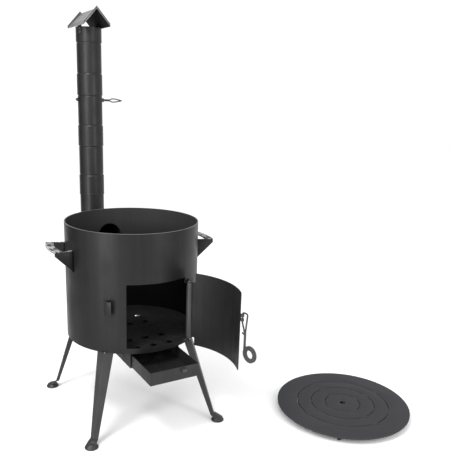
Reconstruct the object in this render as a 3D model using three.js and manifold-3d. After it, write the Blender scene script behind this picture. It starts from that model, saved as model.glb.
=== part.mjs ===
// A cauldron stove: a sheet-steel fire barrel on four legs, with a curved door, an ash drawer,
// a rear flue and chimney with a damper and rain cap, and a nested set of loose cooking rings.
//
// Millimetres, +Z up. The door faces -Y. An angle round the barrel is in degrees, counts from +X
// and grows against the clock seen from above. Everything is written round the barrel's axis with
// the ground at zero, and the finished group is moved so that its origin is under its middle.

import * as THREE from "three";
import { mergeVertices } from "three/addons/utils/BufferGeometryUtils.js";
import Module from "manifold-3d";

const wasm = await Module();
wasm.setup();

// Fits
const weldGap = 0.3;
const overrun = 5;

// Barrel
const barrelRadius = 200;
const barrelWall = 3;
const barrelHeight = 350;
const barrelLift = 250;

// Door opening in the barrel, and the notch beside it that the hinge tube turns in
const doorAngle = -90;
const openingHalfAngle = 27.4;
const openingSill = 16;
const openingHeight = 190;
const notchAngle = 7.4;
const notchDrop = 18;

// Floor plate with its ash holes
const floorThickness = 3;
const floorRise = 2;
const ashHoleRadius = 10;
const ashHolePitch = 61;
const ashHoleSpread = 52;
const ashHoleSetIn = 37;
const ashHoleRows = [0, 1, 3, 4];

// Door and its hinge
const doorGap = 1;
const doorThickness = 2;
const doorSideLap = 26;
const doorBottomLap = 25;
const doorTopLap = 11;
const doorCornerClear = 8;
const doorRestAngle = 100.5;
const hingeSetAngle = 5.2;
const hingeStandoff = 5;
const sleeveRadius = 10;
const pinRadius = 3.5;
const pinHeadRadius = 4.5;
const pinHeadHeight = 3;
const pinTail = 4;
const pinClearance = 0.5;
const lugHalfWidth = 8;
const lugThickness = 4;

// Latch on the door's free edge, and its keeper on the barrel
const latchWireRadius = 2.4;
const latchAxisLift = 5.2;
const latchSetBack = 1;
const latchRestAngle = -53.6;
const latchTopDrop = 55.5;
const latchReach = 19.2;
const latchFootReach = 12.4;
const latchLoopHeight = 54.5;
const latchTailReach = 11;
const latchTailRise = 4;
const latchNeckRadius = 3.4;
const latchPinHeight = 34;
const latchBend = 7;
const knuckleWall = 1.8;
const knuckleHeight = 7;
const knuckleDrop = 3;
const knuckleTabWidth = 16;
const knuckleTabThickness = 2;
const pullOuterRadius = 23.4;
const pullInnerRadius = 12;
const pullThickness = 6;
const pullDrop = 56.6;
const keeperReach = 25.5;
const keeperHalfWidth = 12.8;
const keeperFoot = 7;
const keeperStandoff = 12.5;
const keeperSlope = 4;
const keeperThickness = 2.5;
const keeperHeight = 43;
const keeperRise = -3;

// Carrying handles
const handleLeftAngle = 175.6;
const handleRightAngle = 0.4;
const handleHalfAngle = 15.5;
const gripInner = 31;
const gripOuter = 55;
const gripThickness = 3;
const handleDrop = 67;
const handleRootHeight = 64;
const handleTipHeight = 11;
const handleArmThickness = 3;

// Legs
const legRearRightAngle = 45;
const legRearLeftAngle = 135;
const legFrontLeftAngle = 224.2;
const legFrontRightAngle = 307;
const legSlopeAngle = 18.4;
const legFrontRightSlopeAngle = 20.2;
const legCreaseAngle = 20;
const legTopHalfWidth = 25;
const legAnkleHalfWidth = 12;
const legThickness = 2.5;
const ankleHeight = 13;
const footFlare = 5;
const footRadius = 19.5;
const footThickness = 4;
const footReach = 13;

// Ash drawer on its two runners
const drawerWidth = 148;
const drawerLength = 388;
const drawerHeight = 38;
const drawerWall = 2;
const drawerDrop = 10;
const drawerRestReach = 102;
const drawerPullOffset = 25;
const drawerPullWidth = 13;
const drawerPullReach = 11;
const drawerPullThickness = 3;
const drawerPullDrop = 4;
const drawerPullHook = 9;
const runnerClearance = 1.5;
const runnerThickness = 2.5;
const runnerFlange = 14;
const runnerFrontSetIn = 11;
const runnerBackSetIn = 31;

// Flue from the rear wall up to the chimney
const pipeRadius = 40.5;
const pipeWall = 1;
const flueWall = 1.6;
const flueDrop = 90;
const flueReach = 105;
const elbowRadius = 60;
const elbowRise = 54;

// Chimney sections, each with a wider sleeve below and a neck above
const sectionCount = 3;
const sectionPitch = 168;
const sleeveSlip = 0.4;
const sleeveLength = 66;
const swageLength = 4;
const neckInsert = 40;

// Damper in the second section
const damperSection = 1;
const damperDrop = 15.5;
const damperRodRadius = 3.6;
const damperPlateClearance = 2.5;
const damperPlateThickness = 1.5;
const damperRightReach = 27;
const damperLeftReach = 8;
const damperBushRadius = 6.5;
const damperBushLength = 7;
const damperNutRadius = 6;
const damperNutLength = 5;
const damperLoopLength = 48;
const damperLoopHeight = 18;
const damperLoopBulge = 15;
const damperWireRadius = 2;

// Rain cap
const capCollarHeight = 46;
const gableOverhang = 43.1;
const eaveOverhang = 2.1;
const eaveRise = 2;
const roofDrop = 50;
const roofThickness = 1.2;
const roofLip = 5;
const strapAngle = 30;
const strapWidth = 15;
const strapThickness = 2;
const strapFoot = 24;

// Loose cooking rings, nested on the ground beside the stove
const ringSetAside = 110;
const ringSetAhead = 170;
const ringThickness = 5;
const ringSlip = 2;
const ringRimLap = 10;
const outerHoleShare = 0.693;
const middleHoleShare = 0.483;
const smallHoleShare = 0.269;
const discHole = 9;
const tabLength = 8;
const tabRootWidth = 24;
const tabTipWidth = 10;
const tabDepth = 2.7;
const tabSlip = 0.5;
const pocketDepth = 3;
const ringLugAngle = 45;
const ringLugInset = 21;
const ringLugWidth = 13;
const ringLugThickness = 5;
const ringLugHeight = 18;

// Facet counts
const barrelSides = 96;
const pipeSides = 36;
const smallSides = 20;
const wireSides = 8;
const ringSides = 72;
const holeSides = 16;
const nutSides = 6;
const elbowBends = 8;

const degrees = Math.PI / 180;

// The angle, in degrees, that a length takes up on a round of this radius.
function arcAngle(length, radius) {
  return length / radius / degrees;
}

// How far a straight line at this distance from the axis runs inside a round of this radius.
function halfChord(radius, distance) {
  return Math.sqrt(radius ** 2 - distance ** 2);
}

// Heights, radii and angles that follow
const barrelInner = barrelRadius - barrelWall;
const rimHeight = barrelLift + barrelHeight;
const floorTop = barrelLift + floorRise + floorThickness;
const openingBottom = barrelLift + openingSill;
const notchHeight = openingHeight - notchDrop;
const hingeAngle = doorAngle + openingHalfAngle + hingeSetAngle;
const notchEndAngle = hingeAngle + notchAngle;
const hingeRadius = barrelRadius + hingeStandoff;
const doorInner = barrelRadius + doorGap;
const doorOuter = doorInner + doorThickness;
const doorBottom = openingBottom - doorBottomLap;
const doorTop = openingBottom + openingHeight + doorTopLap;
const doorEdgeAngle = doorAngle - openingHalfAngle - arcAngle(doorSideLap, doorOuter);
const latchEdgeAngle = doorEdgeAngle + arcAngle(latchSetBack, doorOuter);
const latchTop = doorTop - latchTopDrop;
const latchNeckTop = latchTop - latchLoopHeight;
const pullHeight = latchNeckTop - pullDrop;
const keeperAngle = latchEdgeAngle - arcAngle(keeperReach, barrelRadius);
const keeperBottom = latchTop + keeperRise - keeperHeight;
const drawerTop = barrelLift - drawerDrop;
const drawerBottom = drawerTop - drawerHeight;
const drawerRestFront = -barrelRadius - drawerRestReach;
const flueHeight = rimHeight - flueDrop;
const chimneyOffset = barrelRadius + flueReach + elbowRadius;
const firstSectionLift = flueHeight + elbowRadius + elbowRise;
const sleeveInnerRadius = pipeRadius + sleeveSlip;
const sleeveOuterRadius = sleeveInnerRadius + pipeWall;
const capLift = firstSectionLift + sectionCount * sectionPitch;
const collarTop = capLift + capCollarHeight;
const roofHalfWidth = sleeveOuterRadius + eaveOverhang;
const roofHalfLength = sleeveOuterRadius + gableOverhang;
const roofRidge = collarTop + eaveRise + roofDrop;
const outerRingRadius = barrelRadius + ringRimLap;
const outerRingHole = outerRingRadius * outerHoleShare;
const middleRingRadius = outerRingHole - ringSlip;
const middleRingHole = outerRingRadius * middleHoleShare;
const smallRingRadius = middleRingHole - ringSlip;
const smallRingHole = outerRingRadius * smallHoleShare;
const discRadius = smallRingHole - ringSlip;
const ringSetX = barrelRadius + gripOuter + ringSetAside + outerRingRadius;
const ringSetY = -barrelRadius - ringSetAhead;

// Materials
function steel(color, roughness, metalness = 0.35) {
  return new THREE.MeshStandardMaterial({ color, roughness, metalness });
}

const barrelPaint = steel(0x3a3a3b, 0.55);
const pipePaint = steel(0x454546, 0.5);
const sootPaint = steel(0x232323, 0.8);
const handlePaint = steel(0x4a4a4a, 0.6);
const castIron = steel(0x303132, 0.65);
const wirePaint = steel(0x2c2c2d, 0.5);

// Solid helpers: a closed geometry becomes a solid, solids are cut or joined, and come back
function solid(geometry) {
  const bare = geometry.clone();
  bare.deleteAttribute("normal");
  bare.deleteAttribute("uv");
  const merged = mergeVertices(bare);
  return new wasm.Manifold(new wasm.Mesh({
    numProp: 3,
    vertProperties: new Float32Array(merged.attributes.position.array),
    triVerts: new Uint32Array(merged.index.array),
  }));
}

function surface(body) {
  const { vertProperties, triVerts } = body.getMesh();
  const geometry = new THREE.BufferGeometry();
  geometry.setAttribute("position", new THREE.BufferAttribute(vertProperties, 3));
  geometry.setIndex(new THREE.BufferAttribute(triVerts, 1));
  geometry.computeVertexNormals();
  return geometry;
}

function cut(base, ...cutters) {
  return surface(cutters.reduce((body, cutter) => body.subtract(solid(cutter)), solid(base)));
}

function join(base, ...others) {
  return surface(others.reduce((body, other) => body.add(solid(other)), solid(base)));
}

// An upright prism over an outline of [x, y] points, from one height to another.
function prism(outline, bottom, top) {
  const shape = new THREE.Shape(outline.map(([x, y]) => new THREE.Vector2(x, y)));
  const geometry = new THREE.ExtrudeGeometry(shape, { depth: top - bottom, bevelEnabled: false });
  return geometry.translate(0, 0, bottom);
}

// The same prism laid along Y: the outline is in x and z.
function prismAlongY(outline, front, back) {
  return prism(outline, -back, -front).rotateX(Math.PI / 2);
}

function box(x0, x1, y0, y1, z0, z1) {
  return prism([[x0, y0], [x1, y0], [x1, y1], [x0, y1]], z0, z1);
}

function post(radius, bottom, top, sides = smallSides) {
  const geometry = new THREE.CylinderGeometry(radius, radius, top - bottom, sides);
  return geometry.rotateX(Math.PI / 2).translate(0, 0, (bottom + top) / 2);
}

function barAlongX(radius, from, to, sides = smallSides) {
  return post(radius, from, to, sides).rotateY(Math.PI / 2);
}

function barAlongY(radius, from, to, sides = smallSides) {
  return post(radius, from, to, sides).rotateX(-Math.PI / 2);
}

// A turned body: the profile is a closed loop of [radius, height], its outside going up.
function turned(profile, sides) {
  const loop = [...profile, profile[0]].map(([r, z]) => new THREE.Vector2(r, z));
  return new THREE.LatheGeometry(loop, sides).rotateX(Math.PI / 2);
}

function tube(outer, inner, bottom, top, sides) {
  return turned([[outer, bottom], [outer, top], [inner, top], [inner, bottom]], sides);
}

function polar(radius, angle) {
  return [radius * Math.cos(angle * degrees), radius * Math.sin(angle * degrees)];
}

function arc(radius, from, to, steps) {
  return Array.from({ length: steps + 1 }, (_, i) => polar(radius, from + ((to - from) * i) / steps));
}

function circle(radius, sides) {
  return arc(radius, 0, 360 - 360 / sides, sides - 1).map(([x, y]) => new THREE.Vector2(x, y));
}

// Part of a round wall between two angles.
function sector(inner, outer, from, to, bottom, top) {
  const steps = Math.max(1, Math.round((Math.abs(to - from) * barrelSides) / 360));
  return prism([...arc(outer, from, to, steps), ...arc(inner, to, from, steps)], bottom, top);
}

// What lies inside the barrel's outer face and a weld gap, for trimming what is welded on it.
function barrelCutter() {
  return post(barrelRadius + weldGap, -overrun, rimHeight + overrun, barrelSides);
}

// A closed solid between two outlines with as many points, one at each height.
function loft(lower, upper, bottom, top) {
  const count = lower.length;
  const points = [...lower.map(([x, y]) => [x, y, bottom]), ...upper.map(([x, y]) => [x, y, top])];
  const faces = [];
  for (const [a, b, c] of THREE.ShapeUtils.triangulateShape(lower.map((p) => new THREE.Vector2(...p)), [])) {
    faces.push(a, c, b, a + count, b + count, c + count);
  }
  for (let i = 0; i < count; i++) {
    const next = (i + 1) % count;
    faces.push(i, next, next + count, i, next + count, i + count);
  }
  const geometry = new THREE.BufferGeometry();
  geometry.setAttribute("position", new THREE.Float32BufferAttribute(points.flat(), 3));
  geometry.setIndex(faces);
  return geometry;
}

// Wire bent through points, with rounded corners.
function wire(points, radius, bend, steps) {
  const path = new THREE.CurvePath();
  const corners = points.map((p) => new THREE.Vector3(...p));
  let start = corners[0];
  for (let i = 1; i < corners.length - 1; i++) {
    const back = corners[i - 1].clone().sub(corners[i]);
    const ahead = corners[i + 1].clone().sub(corners[i]);
    const into = corners[i].clone().add(back.clone().setLength(Math.min(bend, back.length() / 2)));
    const out = corners[i].clone().add(ahead.clone().setLength(Math.min(bend, ahead.length() / 2)));
    path.add(new THREE.LineCurve3(start, into));
    path.add(new THREE.QuadraticBezierCurve3(into, corners[i], out));
    start = out;
  }
  path.add(new THREE.LineCurve3(start, corners.at(-1)));
  const section = new THREE.Shape(circle(radius, wireSides));
  return new THREE.ExtrudeGeometry(section, { steps, bevelEnabled: false, extrudePath: path });
}

function mesh(name, geometry, material) {
  const piece = new THREE.Mesh(geometry, material);
  piece.name = name;
  return piece;
}

// Barrel and floor
function barrel() {
  const shell = tube(barrelRadius, barrelInner, barrelLift, rimHeight, barrelSides);
  const inside = barrelInner - overrun;
  const outside = barrelRadius + overrun;
  const right = doorAngle + openingHalfAngle;
  const opening = sector(inside, outside, doorAngle - openingHalfAngle, right, openingBottom,
    openingBottom + openingHeight);
  const notch = sector(inside, outside, right - openingHalfAngle, notchEndAngle, openingBottom,
    openingBottom + notchHeight);
  const flueHole = barAlongY(pipeRadius + weldGap, 0, barrelRadius + overrun, pipeSides)
    .translate(0, 0, flueHeight);
  return mesh("barrel", cut(shell, opening, notch, flueHole), barrelPaint);
}

function floorPlate() {
  const plate = post(barrelInner - weldGap, floorTop - floorThickness, floorTop, barrelSides);
  const holes = [];
  for (const row of ashHoleRows) {
    for (const column of [-1, 0, 1]) {
      holes.push(post(ashHoleRadius, floorTop - floorThickness - overrun, floorTop + overrun, holeSides)
        .translate(column * ashHoleSpread, ashHoleSetIn - barrelInner + row * ashHolePitch, 0));
    }
  }
  return mesh("floor_plate", cut(plate, ...holes), sootPaint);
}

// Hinge: two lugs on the barrel and the pin through them
function hingeLug(name, bottom) {
  const outline = [
    [barrelRadius - overrun, -lugHalfWidth],
    ...arc(lugHalfWidth, -90, 90, smallSides / 2).map(([x, y]) => [hingeRadius + x, y]),
    [barrelRadius - overrun, lugHalfWidth],
  ];
  const hole = post(pinRadius + weldGap, bottom - overrun, bottom + lugThickness + overrun)
    .translate(hingeRadius, 0, 0);
  const lug = cut(prism(outline, bottom, bottom + lugThickness).rotateZ(hingeAngle * degrees),
    hole.rotateZ(hingeAngle * degrees), barrelCutter());
  return mesh(name, lug, wirePaint);
}

function hingePin() {
  const lugTop = openingBottom + notchHeight + lugThickness;
  const tail = openingBottom - lugThickness - pinTail;
  const seat = lugTop + weldGap;
  const pin = turned([[0, tail], [pinRadius, tail], [pinRadius, seat], [pinHeadRadius, seat],
    [pinHeadRadius, seat + pinHeadHeight], [0, seat + pinHeadHeight]], smallSides);
  const piece = mesh("hinge_pin", pin, wirePaint);
  const [x, y] = polar(hingeRadius, hingeAngle);
  piece.position.set(x, y, 0);
  return piece;
}

// Door, drawn closed and turned open about the pin
function doorPanel() {
  const [x, y] = polar(hingeRadius, hingeAngle);
  const corner = sleeveRadius + doorCornerClear;
  const clear = [
    post(sleeveRadius + weldGap, doorBottom - overrun, doorTop + overrun),
    post(corner, doorBottom - overrun, openingBottom),
    post(corner, openingBottom + notchHeight, doorTop + overrun),
  ].map((cutter) => cutter.translate(x, y, 0));
  const panel = sector(doorInner, doorOuter, doorEdgeAngle, hingeAngle, doorBottom, doorTop);
  return mesh("door_panel", cut(panel, ...clear), barrelPaint);
}

function hingeSleeve() {
  const sleeve = tube(sleeveRadius, pinRadius + pinClearance, openingBottom + pinClearance,
    openingBottom + notchHeight - pinClearance, smallSides);
  const piece = mesh("hinge_sleeve", sleeve, barrelPaint);
  const [x, y] = polar(hingeRadius, hingeAngle);
  piece.position.set(x, y, 0);
  return piece;
}

// Latch frame: its origin is on the pivot line, X points out of the door, Y back over the panel
function latchFrame() {
  const frame = new THREE.Group();
  const [x, y] = polar(doorOuter + latchAxisLift, latchEdgeAngle);
  frame.position.set(x, y, 0);
  frame.rotation.z = latchEdgeAngle * degrees;
  return frame;
}

function knuckleHeights() {
  const upper = latchTop - latchWireRadius - knuckleDrop - knuckleHeight;
  const lower = latchNeckTop + latchPinHeight - knuckleHeight + knuckleDrop;
  return { upper, lower };
}

function latchBracket() {
  const bore = latchWireRadius + pinClearance;
  const outer = bore + knuckleWall;
  const { upper, lower } = knuckleHeights();
  const knuckles = [upper, lower].map((bottom) => post(outer, bottom, bottom + knuckleHeight));
  const tab = box(-latchAxisLift + weldGap, -latchAxisLift + weldGap + knuckleTabThickness, 0,
    knuckleTabWidth, lower, upper + knuckleHeight);
  const between = post(outer + knuckleWall, lower + knuckleHeight, upper, smallSides);
  const bores = post(bore, lower - overrun, upper + knuckleHeight + overrun);
  const strap = surface(solid(join(tab, ...knuckles)).subtract(solid(between)).subtract(solid(bores)));
  return mesh("latch_bracket", strap, wirePaint);
}

function latchHandle() {
  const { upper, lower } = knuckleHeights();
  const loop = wire([
    [0, 0, upper - knuckleDrop],
    [0, 0, latchTop],
    [latchReach, 0, latchTop],
    [latchFootReach, 0, latchNeckTop - latchBend],
  ], latchWireRadius, latchBend, smallSides);
  const stay = wire([
    [0, 0, lower + knuckleHeight + knuckleDrop],
    [0, 0, lower - knuckleDrop],
    [latchFootReach, 0, latchNeckTop - latchBend],
  ], latchWireRadius, latchBend / 2, smallSides / 2);
  const tail = wire([
    [latchFootReach, 0, latchNeckTop - latchBend],
    [latchFootReach - latchTailReach, 0, latchNeckTop - latchBend + latchTailRise],
  ], latchWireRadius, latchBend / 2, smallSides / 2);
  const neck = post(latchNeckRadius, pullHeight, latchNeckTop).translate(latchFootReach, 0, 0);
  const ringCentre = pullOuterRadius - latchNeckRadius;
  const pull = tube(pullOuterRadius, pullInnerRadius, -pullThickness / 2, pullThickness / 2, smallSides)
    .rotateX(Math.PI / 2).translate(latchFootReach + ringCentre, 0, pullHeight);
  const piece = mesh("latch_handle", join(loop, stay, tail, neck, pull), wirePaint);
  piece.rotation.z = latchRestAngle * degrees;
  return piece;
}

function latchKeeper() {
  const inner = barrelRadius - overrun;
  const face = barrelRadius + keeperStandoff;
  const bend = keeperFoot - keeperHalfWidth;
  const outline = [
    [inner, -keeperHalfWidth],
    [inner, bend + keeperSlope],
    [face, bend + keeperSlope + keeperSlope],
    [face, keeperHalfWidth],
    [face + keeperThickness, keeperHalfWidth],
    [face + keeperThickness, bend + keeperSlope],
    [barrelRadius + keeperThickness, bend],
    [barrelRadius + keeperThickness, -keeperHalfWidth],
  ].reverse();
  const tab = prism(outline, keeperBottom, keeperBottom + keeperHeight).rotateZ(keeperAngle * degrees);
  return mesh("latch_keeper", cut(tab, barrelCutter()), barrelPaint);
}

// Handle: a flat arc grip on two tapered arms
function handle(name, angle) {
  const top = rimHeight - handleDrop;
  const outer = barrelRadius + gripOuter;
  const grip = sector(barrelRadius + gripInner, outer, -handleHalfAngle, handleHalfAngle,
    top - gripThickness, top);
  const arms = [-1, 1].map((side) => prismAlongY([
    [barrelRadius - overrun, top - handleRootHeight],
    [barrelRadius, top - handleRootHeight],
    [outer, top - handleTipHeight],
    [outer, top],
    [barrelRadius - overrun, top],
  ], -handleArmThickness / 2, handleArmThickness / 2).rotateZ(side * handleHalfAngle * degrees));
  return mesh(name, cut(join(grip, ...arms).rotateZ(angle * degrees), barrelCutter()), handlePaint);
}

// Leg: a creased blade under the barrel's edge, bent out at the ankle into a flared round foot
function chevron(halfWidth, middle) {
  const fold = halfWidth * Math.tan(legCreaseAngle * degrees);
  const outer = middle + fold / 2;
  const inner = outer - legThickness / Math.cos(legCreaseAngle * degrees);
  return [
    [inner - fold, -halfWidth], [outer - fold, -halfWidth], [outer, 0],
    [outer - fold, halfWidth], [inner - fold, halfWidth], [inner, 0],
  ];
}

function leg(name, angle, slope = legSlopeAngle) {
  const top = barrelLift - weldGap;
  const ankle = barrelRadius + (top - ankleHeight) * Math.tan(slope * degrees);
  const upper = chevron(legAnkleHalfWidth, ankle);
  const blade = loft(upper, chevron(legTopHalfWidth, barrelRadius), ankleHeight, top);
  const bottom = footThickness / 2;
  const flare = loft(chevron(legAnkleHalfWidth + footFlare, ankle + footReach), upper, bottom, ankleHeight);
  const foot = post(footRadius, 0, footThickness).translate(ankle + footReach, 0, 0);
  const piece = mesh(name, join(blade, flare, foot), barrelPaint);
  piece.rotation.z = angle * degrees;
  return piece;
}

// Ash drawer, and the angle runners that it slides on
function ashDrawer() {
  const half = drawerWidth / 2;
  const back = drawerRestFront + drawerLength;
  const outside = box(-half, half, drawerRestFront, back, drawerBottom, drawerTop);
  const inside = box(-half + drawerWall, half - drawerWall, drawerRestFront + drawerWall,
    back - drawerWall, drawerBottom + drawerWall, drawerTop + overrun);
  return mesh("ash_drawer", cut(outside, inside), barrelPaint);
}

function drawerPull() {
  const top = drawerTop - drawerPullDrop;
  const face = drawerRestFront;
  const left = drawerPullOffset - drawerPullWidth / 2;
  const right = left + drawerPullWidth;
  const shelf = box(left, right, face - drawerPullReach, face, top - drawerPullThickness, top);
  const hook = box(left, right, face - drawerPullReach, face - drawerPullReach + drawerPullThickness,
    top - drawerPullHook, top);
  return mesh("drawer_pull", join(shelf, hook), wirePaint);
}

function drawerRunner(name, side) {
  const inner = drawerWidth / 2 + runnerClearance;
  const outer = inner + runnerThickness;
  const lip = inner - runnerFlange;
  const seat = drawerBottom - weldGap;
  const top = barrelLift + floorRise - weldGap;
  const outline = [[lip, seat - runnerThickness], [outer, seat - runnerThickness], [outer, top],
    [inner, top], [inner, seat], [lip, seat]].map(([x, z]) => [side * x, z]);
  const reach = halfChord(barrelInner, outer);
  const runner = prismAlongY(side > 0 ? outline : outline.reverse(), runnerFrontSetIn - reach,
    reach - runnerBackSetIn);
  return mesh(name, runner, barrelPaint);
}

// Flue: a stub welded in the rear wall, and the elbow up to the chimney
function flueStub() {
  const start = halfChord(barrelInner, pipeRadius) - overrun;
  const end = chimneyOffset - elbowRadius - weldGap;
  const pipe = tube(pipeRadius, pipeRadius - flueWall, start, end, pipeSides)
    .rotateX(-Math.PI / 2).translate(0, 0, flueHeight);
  const inside = post(barrelInner, barrelLift, rimHeight, barrelSides);
  return mesh("flue_stub", cut(pipe, inside), pipePaint);
}

// The elbow's centre line: a quarter turn, then straight up into the first chimney section. It is
// stepped by its own parameter, and not by length, so that a step falls where the turn ends.
class ElbowLine extends THREE.Curve {
  getPoint(share, target = new THREE.Vector3()) {
    const step = share * (elbowBends + 1);
    const turn = (Math.min(step / elbowBends, 1) * Math.PI) / 2;
    const climb = Math.max(0, step - elbowBends) * (elbowRise + neckInsert);
    return target.set(0, chimneyOffset - elbowRadius + elbowRadius * Math.sin(turn),
      flueHeight + elbowRadius - elbowRadius * Math.cos(turn) + climb);
  }

  getUtoTmapping(share) {
    return share;
  }
}

function flueElbow() {
  const section = new THREE.Shape(circle(pipeRadius, pipeSides));
  section.holes.push(new THREE.Path(circle(pipeRadius - flueWall, pipeSides)));
  const elbow = new THREE.ExtrudeGeometry(section,
    { steps: elbowBends + 1, bevelEnabled: false, extrudePath: new ElbowLine() });
  return mesh("flue_elbow", elbow, pipePaint);
}

// Chimney: each section slips over the neck of the one below
function sectionLift(index) {
  return firstSectionLift + index * sectionPitch;
}

function pipeSection(index) {
  const neck = sectionPitch + neckInsert;
  const swage = sleeveLength + swageLength;
  const profile = [[sleeveOuterRadius, 0], [sleeveOuterRadius, sleeveLength], [pipeRadius, swage],
    [pipeRadius, neck], [pipeRadius - pipeWall, neck], [pipeRadius - pipeWall, swage],
    [sleeveInnerRadius, sleeveLength], [sleeveInnerRadius, 0]];
  let section = turned(profile, pipeSides);
  if (index === damperSection) {
    const reach = sleeveOuterRadius + overrun;
    const bore = barAlongX(damperRodRadius + weldGap, -reach, reach);
    section = cut(section, bore.translate(0, 0, sectionPitch - damperDrop));
  }
  const piece = mesh(`pipe_section_${index + 1}`, section, pipePaint);
  piece.position.set(0, chimneyOffset, sectionLift(index));
  return piece;
}

function damper() {
  const group = new THREE.Group();
  group.position.set(0, chimneyOffset, sectionLift(damperSection) + sectionPitch - damperDrop);
  const outside = post(pipeRadius + weldGap, -damperBushRadius - overrun, damperBushRadius + overrun, pipeSides);
  const bore = barAlongX(damperRodRadius + weldGap, -pipeRadius - sectionPitch, pipeRadius + sectionPitch);
  const bush = cut(barAlongX(damperBushRadius, pipeRadius - overrun, pipeRadius + damperBushLength),
    bore, outside);
  const nutFace = -pipeRadius - weldGap;
  const nut = cut(barAlongX(damperNutRadius, nutFace - damperNutLength, nutFace, nutSides), bore);
  const loopStart = pipeRadius + damperRightReach - damperWireRadius;
  const loopEnd = pipeRadius + damperRightReach + damperLoopLength - damperWireRadius;
  const wide = damperLoopHeight / 2 - damperWireRadius;
  const halves = [wide, -wide].map((side) => wire([[loopStart, 0, 0], [loopStart + damperLoopBulge, 0, side],
    [loopEnd, 0, 0]], damperWireRadius, damperLoopBulge, smallSides / 2));
  const rod = join(barAlongX(damperRodRadius, -pipeRadius - damperLeftReach, pipeRadius + damperRightReach),
    ...halves);
  const plateGap = damperRodRadius + weldGap;
  const plateRadius = pipeRadius - pipeWall - damperPlateClearance;
  const plate = barAlongY(plateRadius, plateGap, plateGap + damperPlateThickness, pipeSides);
  group.add(mesh("damper_rod", rod, wirePaint));
  group.add(mesh("damper_plate", plate, sootPaint));
  group.add(mesh("damper_bush", bush, wirePaint));
  group.add(mesh("damper_nut", nut, wirePaint));
  return group;
}

// Rain cap: a collar, two straps and a folded roof
function roofOutline(extra) {
  const slope = Math.atan2(roofDrop, roofHalfWidth);
  const lower = roofThickness / Math.cos(slope);
  const raise = extra / Math.cos(slope);
  const eave = roofRidge - roofDrop;
  return [[-roofHalfWidth, eave - lower], [0, roofRidge - lower], [roofHalfWidth, eave - lower],
    [roofHalfWidth, eave + raise], [0, roofRidge + raise], [-roofHalfWidth, eave + raise]];
}

function capRoof() {
  const half = roofHalfLength;
  const sheet = prismAlongY(roofOutline(0), -half, half);
  const lips = [[-half, roofThickness - half], [half - roofThickness, half]]
    .map(([front, back]) => prismAlongY(roofOutline(roofLip), front, back));
  const piece = mesh("cap_roof", join(sheet, ...lips), pipePaint);
  piece.position.y = chimneyOffset;
  return piece;
}

function capStrap(name, angle) {
  const slope = Math.atan2(roofDrop, roofHalfWidth);
  const under = roofRidge - (roofThickness + weldGap) / Math.cos(slope);
  const wide = 2 * roofHalfWidth;
  const fall = (wide * roofDrop) / roofHalfWidth;
  const above = prismAlongY([[-wide, under - fall], [0, under], [wide, under - fall],
    [wide, under + overrun], [-wide, under + overrun]], -wide, wide);
  const inner = sleeveOuterRadius - overrun;
  const strap = box(inner, sleeveOuterRadius + strapThickness, -strapWidth / 2, strapWidth / 2,
    collarTop - strapFoot, roofRidge).rotateZ(angle * degrees);
  const collar = post(sleeveOuterRadius + weldGap, 0, roofRidge + overrun, pipeSides);
  const piece = mesh(name, cut(strap, above, collar), pipePaint);
  piece.position.y = chimneyOffset;
  return piece;
}

function capCollar() {
  const piece = mesh("cap_collar", tube(sleeveOuterRadius, sleeveInnerRadius, 0, capCollarHeight, pipeSides),
    pipePaint);
  piece.position.set(0, chimneyOffset, capLift);
  return piece;
}

// Cooking rings: every inner one hangs by four tabs in the pockets of the next
function tabOutline(edge, length, root, tip) {
  return [[edge - overrun, -root / 2], [edge, -root / 2], [edge + length, -tip / 2],
    [edge + length, tip / 2], [edge, root / 2], [edge - overrun, root / 2]];
}

const quarterTurns = [0, 90, 180, 270];

function cookingRing(name, outer, hole, hasTabs, hasPockets) {
  let ring = tube(outer, hole, 0, ringThickness, ringSides);
  if (hasTabs) {
    const outline = tabOutline(outer, tabLength, tabRootWidth, tabTipWidth);
    ring = join(ring, ...quarterTurns.map((turn) => prism(outline, ringThickness - tabDepth, ringThickness)
      .rotateZ(turn * degrees)));
  }
  if (hasPockets) {
    const outline = tabOutline(hole - ringSlip, tabLength + tabSlip, tabRootWidth + 2 * tabSlip,
      tabTipWidth + 2 * tabSlip);
    ring = cut(ring, ...quarterTurns.map((turn) => prism(outline, ringThickness - pocketDepth,
      ringThickness + overrun).rotateZ(turn * degrees)));
  }
  const piece = mesh(name, ring, castIron);
  piece.position.set(ringSetX, ringSetY, ringLugHeight);
  return piece;
}

function ringLug(name, turn) {
  const half = ringLugWidth / 2;
  const outline = [...arc(half, 180, 360, smallSides / 2).map(([x, z]) => [x, z + half]),
    [half, ringLugHeight - weldGap], [-half, ringLugHeight - weldGap]];
  const lug = prismAlongY(outline, -ringLugThickness / 2, ringLugThickness / 2)
    .rotateZ(Math.PI / 2).translate(outerRingRadius - ringLugInset, 0, 0).rotateZ(turn * degrees);
  const piece = mesh(name, lug, castIron);
  piece.position.set(ringSetX, ringSetY, 0);
  return piece;
}

// Assembly
const stove = new THREE.Group();
stove.add(barrel(), floorPlate());
stove.add(hingeLug("hinge_lug_bottom", openingBottom - lugThickness));
stove.add(hingeLug("hinge_lug_top", openingBottom + notchHeight));
stove.add(hingePin(), latchKeeper());
stove.add(handle("handle_left", handleLeftAngle), handle("handle_right", handleRightAngle));
stove.add(leg("leg_rear_right", legRearRightAngle), leg("leg_rear_left", legRearLeftAngle));
stove.add(leg("leg_front_left", legFrontLeftAngle));
stove.add(leg("leg_front_right", legFrontRightAngle, legFrontRightSlopeAngle));

const closedDoor = new THREE.Group();
const [pinX, pinY] = polar(hingeRadius, hingeAngle);
closedDoor.position.set(-pinX, -pinY, 0);
const latch = latchFrame();
latch.add(latchBracket(), latchHandle());
closedDoor.add(doorPanel(), hingeSleeve(), latch);
const door = new THREE.Group();
door.position.set(pinX, pinY, 0);
door.rotation.z = doorRestAngle * degrees;
door.add(closedDoor);
stove.add(door);

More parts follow.
